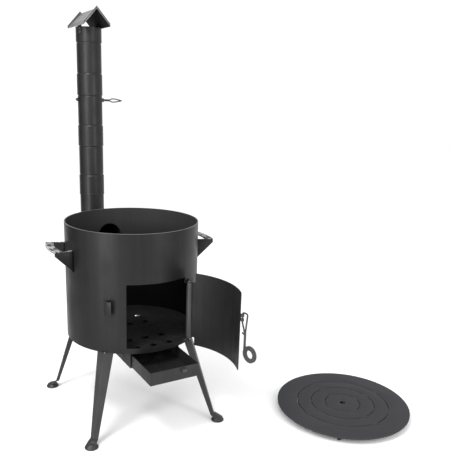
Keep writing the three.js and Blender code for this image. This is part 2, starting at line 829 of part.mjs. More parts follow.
stove.add(ashDrawer(), drawerPull());
stove.add(drawerRunner("drawer_runner_left", -1), drawerRunner("drawer_runner_right", 1));
stove.add(flueStub(), flueElbow());
for (let index = 0; index < sectionCount; index++) {
  stove.add(pipeSection(index));
}
stove.add(damper(), capCollar(), capRoof());
stove.add(capStrap("cap_strap_left", strapAngle + 180), capStrap("cap_strap_right", strapAngle));

stove.add(cookingRing("outer_ring", outerRingRadius, outerRingHole, false, true));
stove.add(cookingRing("middle_ring", middleRingRadius, middleRingHole, true, true));
stove.add(cookingRing("small_ring", smallRingRadius, smallRingHole, true, true));
stove.add(cookingRing("centre_disc", discRadius, discHole, true, false));
quarterTurns.forEach((turn, i) => stove.add(ringLug(`ring_lug_${i + 1}`, turn + ringLugAngle)));

// The origin goes under the middle of the whole group
stove.updateMatrixWorld(true);
const extent = new THREE.Box3().setFromObject(stove, true);
const centre = extent.getCenter(new THREE.Vector3());
stove.position.set(-centre.x, -centre.y, -extent.min.z);
stove.updateMatrixWorld(true);

export default stove;
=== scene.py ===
"""Looks of an outdoor cauldron stove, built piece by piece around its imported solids.

Every shape is drawn in metres in the stove's own frame, whose upright axis is the barrel's, and is
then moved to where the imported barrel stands.
"""

import logging
import math
from dataclasses import dataclass
from enum import Enum
from typing import Sequence

import bmesh
import bpy
from mathutils import Matrix, Vector


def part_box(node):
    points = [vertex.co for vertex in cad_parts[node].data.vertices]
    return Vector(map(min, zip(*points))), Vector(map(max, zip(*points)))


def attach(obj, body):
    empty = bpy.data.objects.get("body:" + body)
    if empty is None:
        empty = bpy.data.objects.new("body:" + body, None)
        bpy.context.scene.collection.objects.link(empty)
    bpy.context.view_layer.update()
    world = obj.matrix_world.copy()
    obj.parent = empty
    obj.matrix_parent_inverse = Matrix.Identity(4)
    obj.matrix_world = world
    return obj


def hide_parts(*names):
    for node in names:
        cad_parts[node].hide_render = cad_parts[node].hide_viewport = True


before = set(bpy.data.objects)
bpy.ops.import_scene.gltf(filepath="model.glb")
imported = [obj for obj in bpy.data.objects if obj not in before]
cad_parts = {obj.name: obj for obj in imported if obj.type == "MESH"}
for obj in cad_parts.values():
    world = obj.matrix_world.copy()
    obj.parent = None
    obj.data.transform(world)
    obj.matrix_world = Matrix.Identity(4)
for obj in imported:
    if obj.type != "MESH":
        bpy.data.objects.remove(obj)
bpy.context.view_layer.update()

TIGHT = 2e-6
FLAT = math.radians(0.4)
ROUND_STEPS = 96

Shape = bmesh.types.BMesh
Socket = bpy.types.NodeSocket
Pair = tuple[float, float]
Point = tuple[float, float, float]

log = logging.getLogger("stove")


class Side(Enum):
    """Which side of the stove a piece is on, seen from its fire door."""

    LEFT = -1
    RIGHT = 1


class Corner(Enum):
    """The four legs, by the direction in which each stands out from the barrel and its slope."""

    REAR_RIGHT = (45.0, 18.4)
    REAR_LEFT = (135.0, 18.4)
    FRONT_LEFT = (224.2, 18.4)
    FRONT_RIGHT = (307.0, 20.2)

    def __init__(self, direction: float, slope: float) -> None:
        """Keeps both angles, in degrees."""
        self.direction = direction
        self.slope = slope


# Places and turns


def stove_axis() -> Vector:
    """Finds the foot of the barrel's upright axis, on the ground of the row frame."""
    low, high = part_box("barrel")
    return Vector(((low.x + high.x) / 2, (low.y + high.y) / 2, 0.0))


def polar(radius: float, angle: float, height: float = 0.0) -> Vector:
    """Places a point at a radius, an angle in degrees and a height round the stove's axis."""
    turn = math.radians(angle)
    return Vector((radius * math.cos(turn), radius * math.sin(turn), height))


def upright(*pairs: Pair) -> list[Vector]:
    """Places points in the upright plane through X, by their X and Z."""
    return [Vector((across, 0.0, height)) for across, height in pairs]


def circle(radius: float, steps: int = 72) -> list[Pair]:
    """Divides a circle into even steps."""
    turns = [2 * math.pi * step / steps for step in range(steps)]
    return [(radius * math.cos(turn), radius * math.sin(turn)) for turn in turns]


def spin(angle: float, axis: str = "Z") -> Matrix:
    """Turns things by an angle in degrees about an axis of the frame."""
    return Matrix.Rotation(math.radians(angle), 4, axis)


def move_to(x: float, y: float, z: float) -> Matrix:
    """Moves things from the origin to a point."""
    return Matrix.Translation(Vector((x, y, z)))


def facing(place: Point, aim: Point) -> Matrix:
    """Stands things at a place with their minus Z axis towards an aim."""
    run = Vector(aim) - Vector(place)
    return move_to(*place) @ run.to_track_quat("-Z", "Y").to_matrix().to_4x4()


def bent(corners: Sequence[Vector], bend: float, steps: int = 6) -> list[Vector]:
    """Rounds the corners of a wire's route.

    Args:
        corners: The points that the straight wire would run through.
        bend: How far from each corner the bend begins, in metres.
        steps: Short straights in each bend.

    Returns:
        The points of the bent wire.
    """
    route = [corners[0].copy()]
    for before, corner, after in zip(corners, corners[1:], corners[2:]):
        back = before - corner
        ahead = after - corner
        into = corner + back.normalized() * min(bend, back.length / 2)
        out = corner + ahead.normalized() * min(bend, ahead.length / 2)
        for step in range(steps + 1):
            share = step / steps
            route.append(into.lerp(corner, share).lerp(corner.lerp(out, share), share))
    route.append(corners[-1].copy())
    return route


def spaced(route: Sequence[Vector], pitch: float) -> list[Vector]:
    """Divides a route into even steps.

    Args:
        route: The points that the route runs through.
        pitch: The length of a step in metres, met as closely as whole steps allow.

    Returns:
        Points at even distances from the route's start to its end.
    """
    lengths = [(b - a).length for a, b in zip(route, route[1:])]
    count = max(2, round(sum(lengths) / pitch))
    stride = sum(lengths) / count
    found = [route[0].copy()]
    walked = 0.0
    for a, b, length in zip(route, route[1:], lengths):
        while len(found) < count and stride * len(found) <= walked + length:
            found.append(a.lerp(b, (stride * len(found) - walked) / length))
        walked += length
    found.append(route[-1].copy())
    return found


# Shapes


def draw_loop(shape: Shape, pairs: Sequence[Pair]) -> list[bmesh.types.BMEdge]:
    """Draws a closed outline by its corners' X and Z, and hands back its edges."""
    corners = [shape.verts.new(point) for point in upright(*pairs)]
    return [shape.edges.new(ends) for ends in zip(corners, corners[1:] + corners[:1])]


def turned(profile: Sequence[Pair], steps: int = ROUND_STEPS) -> Shape:
    """Turns a closed profile about the upright axis, as a lathe does.

    Args:
        profile: The section's corners as pairs of radius and height.
        steps: How many steps the full turn has.

    Returns:
        The turned shape, closed, with its faces outwards.
    """
    shape = bmesh.new()
    draw_loop(shape, profile)
    bmesh.ops.spin(
        shape,
        geom=shape.verts[:] + shape.edges[:],
        axis=(0, 0, 1),
        angle=2 * math.pi,
        space=Matrix.Identity(4),
        steps=steps,
        use_merge=True,
    )
    bmesh.ops.remove_doubles(shape, verts=shape.verts, dist=TIGHT)
    bmesh.ops.recalc_face_normals(shape, faces=shape.faces)
    return shape


def tube_section(outer: float, inner: float, bottom: float, top: float) -> list[Pair]:
    """Gives the section of a plain tube as pairs of radius and height."""
    return [(outer, bottom), (outer, top), (inner, top), (inner, bottom)]


def wire_body(
    route: Sequence[Vector], radii: Sequence[float], sides: int = 16, capped: bool = True
) -> Shape:
    """Draws a round bar along a route.

    Args:
        route: The points that the bar's middle runs through.
        radii: The bar's radius at each point, or one radius for all.
        sides: Sides of the bar's section.
        capped: Whether its ends are closed.

    Returns:
        The bar, with its faces outwards.
    """
    sizes = list(radii) if len(radii) == len(route) else [radii[0]] * len(route)
    last = len(route) - 1
    runs = [(route[min(i + 1, last)] - route[max(i - 1, 0)]).normalized() for i in range(len(route))]
    aim = Vector((0, 0, 1)).rotation_difference(runs[0])
    shape = bmesh.new()
    bmesh.ops.create_circle(shape, cap_ends=capped, segments=sides, radius=1.0)
    places = []
    for i, (point, run, size) in enumerate(zip(route, runs, sizes)):
        if i:
            aim = runs[i - 1].rotation_difference(run) @ aim
        places.append(Matrix.LocRotScale(point, aim, Vector((size, size, size))))
    bmesh.ops.transform(shape, matrix=places[0], verts=shape.verts)
    rim = shape.edges[:]
    for before, after in zip(places, places[1:]):
        grown = bmesh.ops.extrude_edge_only(shape, edges=rim)["geom"]
        rim = [part for part in grown if isinstance(part, bmesh.types.BMEdge)]
        rim = [edge for edge in rim if len(edge.link_faces) == 1]
        moved = list({corner for edge in rim for corner in edge.verts})
        bmesh.ops.transform(shape, matrix=after @ before.inverted(), verts=moved)
    if capped:
        bmesh.ops.contextual_create(shape, geom=rim)
    bmesh.ops.recalc_face_normals(shape, faces=shape.faces)
    return shape


def as_mesh(shape: Shape, name: str) -> bpy.types.Mesh:
    """Makes mesh data of a shape, which is used up.

    Args:
        shape: The drawn shape.
        name: The mesh's name.

    Returns:
        The mesh.
    """
    drawn = bpy.data.meshes.new(name)
    shape.to_mesh(drawn)
    shape.free()
    return drawn


def linked(name: str, data: bpy.types.ID) -> bpy.types.Object:
    """Puts an object in the scene.

    Args:
        name: Its name.
        data: What it shows.

    Returns:
        The object.
    """
    thing = bpy.data.objects.new(name, data)
    bpy.context.scene.collection.objects.link(thing)
    return thing


def combined(*shapes: Shape) -> Shape:
    """Puts several shapes in one mesh.

    Args:
        shapes: The shapes, which are used up.

    Returns:
        A mesh that holds them all.
    """
    whole = bmesh.new()
    for shape in shapes:
        holder = as_mesh(shape, "holder")
        whole.from_mesh(holder)
        bpy.data.meshes.remove(holder)
    return whole


def moved(shape: Shape, matrix: Matrix) -> Shape:
    """Moves a whole shape and hands it back."""
    bmesh.ops.transform(shape, matrix=matrix, verts=shape.verts)
    return shape


def rolled(flat: Shape, radius: float) -> Shape:
    """Rolls a flat pattern into part of a round wall, as plate rolls do.

    Args:
        flat: The pattern, with the angle round the wall in degrees along X and the height along Z.
        radius: The wall's outer radius in metres.

    Returns:
        The same mesh, rolled, with its faces away from the axis.
    """
    step = 360.0 / ROUND_STEPS
    first = math.floor(min(corner.co.x for corner in flat.verts) / step)
    last = math.ceil(max(corner.co.x for corner in flat.verts) / step)
    for column in range(first + 1, last):
        bmesh.ops.bisect_plane(
            flat,
            geom=flat.verts[:] + flat.edges[:] + flat.faces[:],
            dist=1e-5,
            plane_co=(column * step, 0, 0),
            plane_no=(1, 0, 0),
        )
    for corner in flat.verts:
        corner.co = polar(radius, corner.co.x, corner.co.z)
    bmesh.ops.remove_doubles(flat, verts=flat.verts, dist=TIGHT)
    bmesh.ops.recalc_face_normals(flat, faces=flat.faces)
    outwards = sum(
        face.calc_area() * face.normal.dot(Vector((*face.calc_center_median().xy, 0.0)))
        for face in flat.faces
    )
    if outwards < 0:
        bmesh.ops.reverse_faces(flat, faces=flat.faces)
    return flat


def flat_pattern(*loops: Sequence[Pair]) -> Shape:
    """Cuts a flat sheet from its outline and the holes in it.

    Args:
        loops: The outline first and then each hole, as pairs of X and Z.

    Returns:
        The filled sheet.
    """
    flat = bmesh.new()
    drawn = [edge for pairs in loops for edge in draw_loop(flat, pairs)]
    bmesh.ops.triangle_fill(flat, use_beauty=True, edges=drawn)
    return flat


def copied(node: str) -> Shape:
    """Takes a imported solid's shape with its loose triangles merged into whole faces.

    Args:
        node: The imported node's name.

    Returns:
        A copy of its shape, in the stove's frame.
    """
    shape = bmesh.new()
    shape.from_mesh(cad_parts[node].data)
    bmesh.ops.remove_doubles(shape, verts=shape.verts, dist=TIGHT)
    bmesh.ops.dissolve_limit(shape, angle_limit=FLAT, verts=shape.verts, edges=shape.edges)
    return moved(shape, Matrix.Translation(-stove_axis()))


# Depth, turn at each step and start of each wave in a weld's ripple
RIPPLES = ((0.14, 2.4, 0.0), (0.08, 0.7, 1.3))
RIPPLE_STEP = 1.3
RIPPLE_END = 0.4


def weld_bead(route: Sequence[Vector], radius: float) -> Shape:
    """Lays a rippled bead of weld along a route.

    Args:
        route: The points that the bead follows.
        radius: The bead's radius in metres.

    Returns:
        The bead as a closed shape.
    """
    points = spaced(route, radius * RIPPLE_STEP)
    sizes = []
    for step in range(len(points)):
        waves = [depth * math.sin(pace * step + start) for depth, pace, start in RIPPLES]
        sizes.append(radius * (1.0 + sum(waves)))
    sizes[0] *= RIPPLE_END
    sizes[-1] *= RIPPLE_END
    return wire_body(points, sizes, sides=8)


@dataclass(frozen=True)
class Edging:
    """How a piece's sheet and edges are finished by modifiers.

    Sizes are in metres. The wall grows inwards from the drawn face.
    """

    wall: float = 0.0
    edge: float = 0.0004
    edge_steps: int = 2
    soften: int = 0
    sharpest: float = 32.0


AS_DRAWN = Edging(edge=0.0)


def settle(
    shape: Shape,
    name: str,
    body: str,
    finish: "PaintedSteel",
    nodes: Sequence[str] = (),
    edging: Edging = AS_DRAWN,
    inside: "PaintedSteel | None" = None,
) -> None:
    """Makes a shape a piece of the stove.

    Args:
        shape: The drawn shape, which is used up.
        name: The piece's name.
        body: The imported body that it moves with.
        finish: Its finish.
        nodes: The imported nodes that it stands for.
        edging: How its walls and edges are finished.
        inside: The finish of the wall's inner face, or of the faces marked with index 1.
    """
    moved(shape, Matrix.Translation(stove_axis()))
    drawn = as_mesh(shape, name)
    drawn.shade_smooth()
    piece = linked(name, drawn)
    if edging.soften:
        round_off = piece.modifiers.new("round_off", "SUBSURF")
        round_off.levels = edging.soften
        round_off.render_levels = edging.soften
        round_off.boundary_smooth = "PRESERVE_CORNERS"
    if edging.wall:
        wall = piece.modifiers.new("wall", "SOLIDIFY")
        wall.thickness = edging.wall
        wall.offset = -1.0
        wall.use_even_offset = True
        wall.material_offset = 1 if inside else 0
    if edging.edge:
        edge = piece.modifiers.new("edge", "BEVEL")
        edge.width = edging.edge
        edge.segments = edging.edge_steps
        edge.limit_method = "ANGLE"
        edge.angle_limit = math.radians(edging.sharpest)
        edge.harden_normals = True
    drawn.materials.append(finish.material())
    if inside:
        drawn.materials.append(inside.material())
    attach(piece, body)
    if nodes:
        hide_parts(*nodes)


def dress(
    nodes: Sequence[str], body: str, finish: "PaintedSteel", edge: float = 0.0004, steps: int = 2
) -> None:
    """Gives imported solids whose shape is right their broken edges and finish.

    Args:
        nodes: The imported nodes.
        body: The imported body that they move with.
        finish: Their finish.
        edge: How wide their edges are broken, in metres.
        steps: How many steps round off an edge.
    """
    edging = Edging(edge=edge, edge_steps=steps)
    for node in nodes:
        settle(copied(node), f"{node}_finished", body, finish, [node], edging)


# Finishes


class NodeBench:
    """Lays out the nodes of one material and joins them."""

    def __init__(self, name: str) -> None:
        """Starts an empty material.

        Args:
            name: The material's name.
        """
        self.material = bpy.data.materials.new(name)
        self.material.use_nodes = True
        self.tree = self.material.node_tree
        self.tree.nodes.clear()

    def add(self, kind: str, inputs: dict[str | int, object], **options: object) -> bpy.types.Node:
        """Adds a node.

        Args:
            kind: The node's type.
            inputs: By an input's name or place, its value or the output joined to it.
            options: The node's own properties.

        Returns:
            The node.
        """
        node = self.tree.nodes.new(kind)
        for option, value in options.items():
            setattr(node, option, value)
        for place, value in inputs.items():
            if isinstance(value, Socket):
                self.tree.links.new(value, node.inputs[place])
            else:
                node.inputs[place].default_value = value
        return node

    def times(self, first: Socket, second: object, plus: object = 0.0) -> Socket:
        """Multiplies two values, each an output or a number, and adds a third."""
        inputs = {0: first, 1: second, 2: plus}
        return self.add("ShaderNodeMath", inputs, operation="MULTIPLY_ADD").outputs[0]

    def ramp(self, source: Socket, low: float, high: float) -> Socket:
        """Stretches a value, so that it runs from 0 at the low level to 1 at the high one."""
        inputs = {"Value": source, "From Min": low, "From Max": high}
        return self.add("ShaderNodeMapRange", inputs, clamp=True).outputs["Result"]

    def blend(self, share: Socket, first: object, second: object) -> Socket:
        """Mixes two colours, each a grey tone or an output, by how much of the second shows."""
        ends = [(end, end, end, 1.0) if isinstance(end, float) else end for end in (first, second)]
        return self.add("ShaderNodeMix", {0: share, 6: ends[0], 7: ends[1]}, data_type="RGBA").outputs[2]

    def noise(self, place: Socket, scale: Vector, detail: float) -> Socket:
        """Adds a soft cloudy pattern.

        Args:
            place: The position output.
            scale: How many patches there are to a metre along each axis.
            detail: How many finer layers the pattern has.

        Returns:
            The pattern's value.
        """
        scaled = self.add("ShaderNodeMapping", {"Vector": place, "Scale": scale}).outputs["Vector"]
        inputs = {"Vector": scaled, "Scale": 1.0, "Detail": detail, "Roughness": 0.55}
        return self.add("ShaderNodeTexNoise", inputs).outputs[0]

    def shaded(self, **inputs: object) -> bpy.types.Material:
        """Ends the material with its surface.

        Args:
            inputs: What the shader's inputs hold or are joined to, by their names.

        Returns:
            The material.
        """
        named = {key.replace("_", " "): value for key, value in inputs.items()}
        surface = self.add("ShaderNodeBsdfPrincipled", named).outputs["BSDF"]
        self.add("ShaderNodeOutputMaterial", {"Surface": surface})
        return self.material


@dataclass(frozen=True)
class PaintedSteel:
    """Matt heat-proof paint on sheet steel.

    Tones are linear greys. Sizes are in metres. The paint is mottled in broad patches, streaked
    along the streaks' direction, finely grained, and rubbed pale in a few places, which on the
    handles stay on the top and stand for wear and a painted sheen. Painted shade may darken it
    downwards between two heights, and a painted highlight of the cut rim may pale its top edge
    above a height.
    """

    name: str
    slot: str
    tones: Pair = (0.010, 0.022)
    patch_size: float = 0.09
    patch_share: float = 0.55
    mottle_levels: Pair = (0.34, 0.66)
    wear_and_sheen_tone: float = 0.10
    rubbed_level: float = 0.68
    rubbed_fade: float = 0.07
    wear_and_sheen_above: float = 0.0
    speckle_levels: Pair = (0.35, 0.62)
    streak_width: float = 0.012
    streak_length: float = 0.35
    streak_along: Point = (0, 0, 1)
    roughness: float = 0.46
    roughness_spread: float = 0.16
    gloss: float = 0.5
    grain_size: float = 0.0016
    grain_depth: float = 0.00006
    wave_size: float = 0.07
    wave_depth: float = 0.0006
    painted_shade_colour: float = 0.0015
    painted_shade_heights: Pair = (0.0, 0.0)
    rim_highlight_tone: float = 0.075
    rim_highlight_above: float = 0.0
    rim_highlight_fade: float = 0.0004
    wear_and_sheen_fade: float = 0.001

    def material(self) -> bpy.types.Material:
        """Builds the finish once and hands out the same material after that."""
        known = bpy.data.materials.get(self.name)
        return known or self.build()

    def build(self) -> bpy.types.Material:
        """Builds the finish.

        Returns:
            The new material.
        """
        bench = NodeBench(self.name)
        place = bench.add("ShaderNodeTexCoord", {}).outputs["Object"]
        even = Vector((1, 1, 1))
        thin = even / self.streak_width
        drawn_out = [t + (1 / self.streak_length - t) * abs(a) for t, a in zip(thin, self.streak_along)]
        patches = bench.noise(place, even / self.patch_size, detail=5.0)
        streaks = bench.noise(place, Vector(drawn_out), detail=3.0)
        grain = bench.noise(place, even / self.grain_size, detail=2.0)
        waves = bench.noise(place, even / self.wave_size, detail=1.0)
        cloud = bench.times(patches, self.patch_share, bench.times(streaks, 1.0 - self.patch_share))
        mottle = bench.ramp(cloud, *self.mottle_levels)
        height = bench.add("ShaderNodeSeparateXYZ", {0: place}).outputs["Z"]
        rubbed = bench.ramp(cloud, self.rubbed_level, self.rubbed_level + self.rubbed_fade)
        wear_and_sheen = bench.times(rubbed, bench.ramp(grain, *self.speckle_levels))
        # On the handles the pale patches are kept to the top: wear, and a painted sheen where the top
        # catches the light.
        if self.wear_and_sheen_above:
            top_only = bench.ramp(height, self.wear_and_sheen_above, self.wear_and_sheen_above + self.wear_and_sheen_fade)
            wear_and_sheen = bench.times(wear_and_sheen, top_only)
        colour = bench.blend(mottle, *self.tones)
        colour = bench.blend(wear_and_sheen, colour, self.wear_and_sheen_tone)
        # Painted shade: darker downwards from the first height to the second, for the dark deep inside the
        # barrel.
        shade_top, sooty = self.painted_shade_heights
        if shade_top > sooty:
            colour = bench.blend(bench.ramp(height, shade_top, sooty), colour, self.painted_shade_colour)
        # Painted highlight: the cut rim's edge catching the light, paler above a given height.
        if self.rim_highlight_above:
            rim_highlight = bench.ramp(height, self.rim_highlight_above, self.rim_highlight_above + self.rim_highlight_fade)
            colour = bench.blend(rim_highlight, colour, self.rim_highlight_tone)
        half = self.roughness_spread / 2
        levels = {"Value": mottle, "To Min": self.roughness + half, "To Max": self.roughness - half}
        swell = bench.add("ShaderNodeBump", {"Distance": self.wave_depth, "Height": waves})
        above = {"Distance": self.grain_depth, "Height": grain, "Normal": swell.outputs["Normal"]}
        return bench.shaded(
            Base_Color=colour,
            Specular_IOR_Level=self.gloss,
            Roughness=bench.add("ShaderNodeMapRange", levels).outputs["Result"],
            Normal=bench.add("ShaderNodeBump", above).outputs["Normal"],
        )


# The pale band above 0.5992 m, here and inside, is a painted highlight where the cut rim catches the
# light.
BARREL_PAINT = PaintedSteel(
    "barrel_black", "barrel_paint", tones=(0.0045, 0.010), roughness=0.40, gloss=0.2, rim_highlight_above=0.5992,
)
# Painted shade darkens the inside downwards from 0.56 m to 0.44 m.
INNER_PAINT = PaintedSteel(
    "barrel_inside", "barrel_paint", tones=(0.022, 0.027), roughness=0.5, gloss=0.14,
    painted_shade_heights=(0.56, 0.44), rim_highlight_above=0.5992,
)
DRAWER_PAINT = PaintedSteel("drawer_black", "barrel_paint", tones=(0.007, 0.016), gloss=0.3)
DOOR_PAINT = PaintedSteel("door_black", "barrel_paint", tones=(0.0045, 0.011), gloss=0.22)
PIPE_PAINT = PaintedSteel(
    "pipe_black", "pipe_paint", tones=(0.007, 0.014), roughness=0.40, gloss=0.22, patch_size=0.05,
)
ROOF_PAINT = PaintedSteel(
    "roof_black", "pipe_paint", tones=(0.02, 0.05), roughness=0.3, gloss=0.8, patch_size=0.03,
    streak_along=(0, 1, 0),
)
SOOT_PAINT = PaintedSteel("sooty_steel", "soot_paint", tones=(0.004, 0.013), roughness=0.85, gloss=0.12)
# Painted shade for the roof's downward faces.
ROOF_PAINTED_SHADE = PaintedSteel("roof_painted_shade", "pipe_paint", tones=(0.002, 0.006), roughness=0.85, gloss=0.15)
# The grip's pale top: wear, and a painted sheen where it catches the light.
HANDLE_PAINT = PaintedSteel(
    "handle_black", "handle_paint", tones=(0.005, 0.012), gloss=0.2, wear_and_sheen_tone=0.52,
    rubbed_level=0.47, wear_and_sheen_above=0.5315, patch_size=0.03, streak_width=0.004, streak_length=0.05,
    streak_along=(0, 1, 0),
)
# Near black, for the painted shadow line at the handles' arm roots.
ROOT_SHADOW_PAINT = PaintedSteel("arm_root_painted_shadow", "handle_paint", tones=(0.001, 0.003), roughness=0.9, gloss=0.03)
LEG_PAINT = PaintedSteel("leg_black", "leg_paint", gloss=0.36, patch_size=0.06)
TUBE_PAINT = PaintedSteel("tube_black", "barrel_paint", tones=(0.02, 0.036))
FITTING_PAINT = PaintedSteel(
    "fitting_black", "fitting_paint", tones=(0.012, 0.028), patch_size=0.02, roughness=0.42,
)
RING_IRON = PaintedSteel(
    "ring_iron", "ring_iron", tones=(0.014, 0.03), patch_size=0.04, streak_width=0.03,
    streak_length=0.05, roughness=0.58, grain_size=0.0022, grain_depth=0.00016,
)


# The stove's sub-assemblies


@dataclass
class Barrel:
    """The rolled shell with its door opening and flue hole, and the pierced floor in it.

    The opening's corners are pairs of angle and height. Its notch clears the hinge.
    """

    radius: float = 0.200
    wall: float = 0.003
    bottom: float = 0.250
    rim: float = 0.600
    seam_angle: float = 110.0
    seam_short: float = 0.002
    opening: tuple[Pair, ...] = (
        (-117.4, 0.266), (-50.0, 0.266), (-50.0, 0.438),
        (-62.6, 0.438), (-62.6, 0.456), (-117.4, 0.456),
    )
    flue_angle: float = 90.0
    flue_height: float = 0.510
    flue_radius: float = 0.0408

    def build(self) -> None:
        """Builds the shell, its seam and the floor."""
        seam, lap = self.seam_angle, self.seam_angle - 360.0
        outline = [(lap, self.bottom), (seam, self.bottom), (seam, self.rim), (lap, self.rim)]
        shell = rolled(flat_pattern(outline, self.opening, self.flue_hole()), self.radius)
        edging = Edging(wall=self.wall, edge=0.0006)
        settle(shell, "rolled_shell", "stove", BARREL_PAINT, ["barrel"], edging, inside=INNER_PAINT)
        ends = (self.bottom + self.seam_short, self.rim - self.seam_short)
        bead = weld_bead([polar(self.radius, seam, height) for height in ends], 0.0013)
        settle(bead, "shell_seam", "stove", BARREL_PAINT)
        dress(["floor_plate"], "stove", SOOT_PAINT)

    def flue_hole(self) -> list[Pair]:
        """Draws the hole that the flue stub is welded in, in the flat pattern."""
        return [
            (self.flue_angle + math.degrees(math.asin(across / self.radius)), self.flue_height + rise)
            for across, rise in circle(self.flue_radius)
        ]


@dataclass
class Leg:
    """A folded leg that flares over its round domed foot, drawn along X and turned to its corner.

    A flare's row holds the share of the sheet's length, the distance beyond the ankle, the height,
    the half width and how much of the fold is left.
    """

    corner: Corner
    barrel_radius: float = 0.200
    top: float = 0.2497
    top_half_width: float = 0.025
    ankle: float = 0.013
    flare: tuple[tuple[float, ...], ...] = (
        (0.7, -0.002, 0.019, 0.012, 1.0),
        (0.8, 0.002, 0.019, 0.013, 1.0),
        (0.9, 0.010, 0.016, 0.014, 0.8),
        (1.0, 0.025, 0.0075, 0.015, 0.2),
    )
    foot_tilt: float = 70.0
    fold: float = 20.0
    crease: float = 0.7
    crease_end: float = 0.45
    sheet: float = 0.0025
    foot_reach: float = 0.013
    foot_section: tuple[Pair, ...] = (
        (0.0, 0.0), (0.0183, 0.0), (0.0195, 0.0012), (0.0195, 0.003), (0.0185, 0.004),
        (0.0156, 0.009), (0.010725, 0.0126), (0.00546, 0.01455), (0.0, 0.015),
    )

    def build(self) -> None:
        """Builds the leg with its foot and the weld at its top."""
        node = f"leg_{self.corner.name.lower()}"
        place = spin(self.corner.direction)
        blade = moved(self.blade(), place)
        edging = Edging(self.sheet, 0.0005, soften=1)
        settle(blade, f"{node}_blade", "stove", LEG_PAINT, [node], edging)
        foot = moved(turned(self.foot_section, 64), move_to(self.ankle_radius() + self.foot_reach, 0, 0))
        moved(foot, place)
        settle(foot, f"{node}_foot", "stove", LEG_PAINT, edging=Edging(edge=0.0005))
        settle(moved(self.top_weld(), place), f"{node}_weld", "stove", LEG_PAINT)

    def ankle_radius(self) -> float:
        """Gives the ankle's distance from the stove's axis."""
        return self.barrel_radius + (self.top - self.ankle) * math.tan(math.radians(self.corner.slope))

    def blade(self) -> Shape:
        """Draws the folded sheet from the barrel's edge to the foot.

        Returns:
            The sheet's outer face.
        """
        shape = bmesh.new()
        bmesh.ops.create_grid(shape, x_segments=8, y_segments=30, size=1.0)
        layer = shape.edges.layers.float.new("crease_edge")
        for edge in shape.edges:
            middle = all(abs(end.co.x) < 1e-4 for end in edge.verts)
            if middle and edge.verts[0].co.y < self.crease_end:
                edge[layer] = self.crease
        for corner in shape.verts:
            corner.co = self.sheet_point(corner.co.x, (corner.co.y + 1) / 2)
        bmesh.ops.recalc_face_normals(shape, faces=shape.faces)
        outwards = sum(face.normal.x + face.normal.z for face in shape.faces)
        if outwards < 0:
            bmesh.ops.reverse_faces(shape, faces=shape.faces)
        return shape

    def sheet_point(self, across: float, along: float) -> Vector:
        """Finds a point of the folded sheet.

        Args:
            across: From -1 at one edge to 1 at the other.
            along: From 0 at the barrel to 1 on the foot.

        Returns:
            The point.
        """
        ankle = self.ankle_radius()
        rows = [(0.0, self.barrel_radius - ankle, self.top, self.top_half_width, 1.0), *self.flare]
        for before, after in zip(rows, rows[1:]):
            if along <= after[0] + 1e-6:
                share = (along - before[0]) / (after[0] - before[0])
                beyond, height, half, fold = (a + (b - a) * share for a, b in zip(before[1:], after[1:]))
                break
        slope, bend = self.corner.slope, self.flare[0][0]
        tilt = math.radians(slope + (self.foot_tilt - slope) * max(0.0, along - bend) / (1 - bend))
        lift = fold * half * math.tan(math.radians(self.fold)) * (0.5 - abs(across))
        out = ankle + beyond + lift * math.cos(tilt)
        return Vector((out, across * half, height + lift * math.sin(tilt)))

    def top_weld(self) -> Shape:
        """Draws the weld between the leg and the barrel's lower edge.

        Returns:
            The bead.
        """
        half = self.top_half_width
        fold = half * math.tan(math.radians(self.fold)) / 2
        ends = ((-half, -fold), (0.0, fold), (half, -fold))
        route = [Vector((self.barrel_radius + out, side, self.top)) for side, out in ends]
        return weld_bead(route, 0.0018)


@dataclass
class Handles:
    """Two side handles: a flat curved grip on two triangular arms."""

    barrel_radius: float = 0.200
    angles: Pair = (175.6, 0.4)
    half_angle: float = 15.5
    grip_top: float = 0.533
    root_height: float = 0.064
    arm: float = 0.003
    weld: float = 0.003

    def build(self) -> None:
        """Builds both handles and the near black welds at their arms' roots, which give the painted shadow
        line where each arm meets the barrel.
        """
        dress(["handle_left", "handle_right"], "stove", HANDLE_PAINT, 0.0006)
        heights = (self.grip_top - self.root_height, self.grip_top)
        across = math.degrees(self.arm / 2 / self.barrel_radius)
        for side, angle in zip(Side, self.angles):
            beads = []
            for arm in (angle - self.half_angle, angle + self.half_angle):
                for edge in (arm - across, arm + across):
                    line = [polar(self.barrel_radius, edge, height) for height in heights]
                    beads.append(weld_bead(line, self.weld))
            # Painted shadow: near black beads along each arm's root.
            settle(combined(*beads), f"handle_{side.name.lower()}_welds", "stove", ROOT_SHADOW_PAINT)


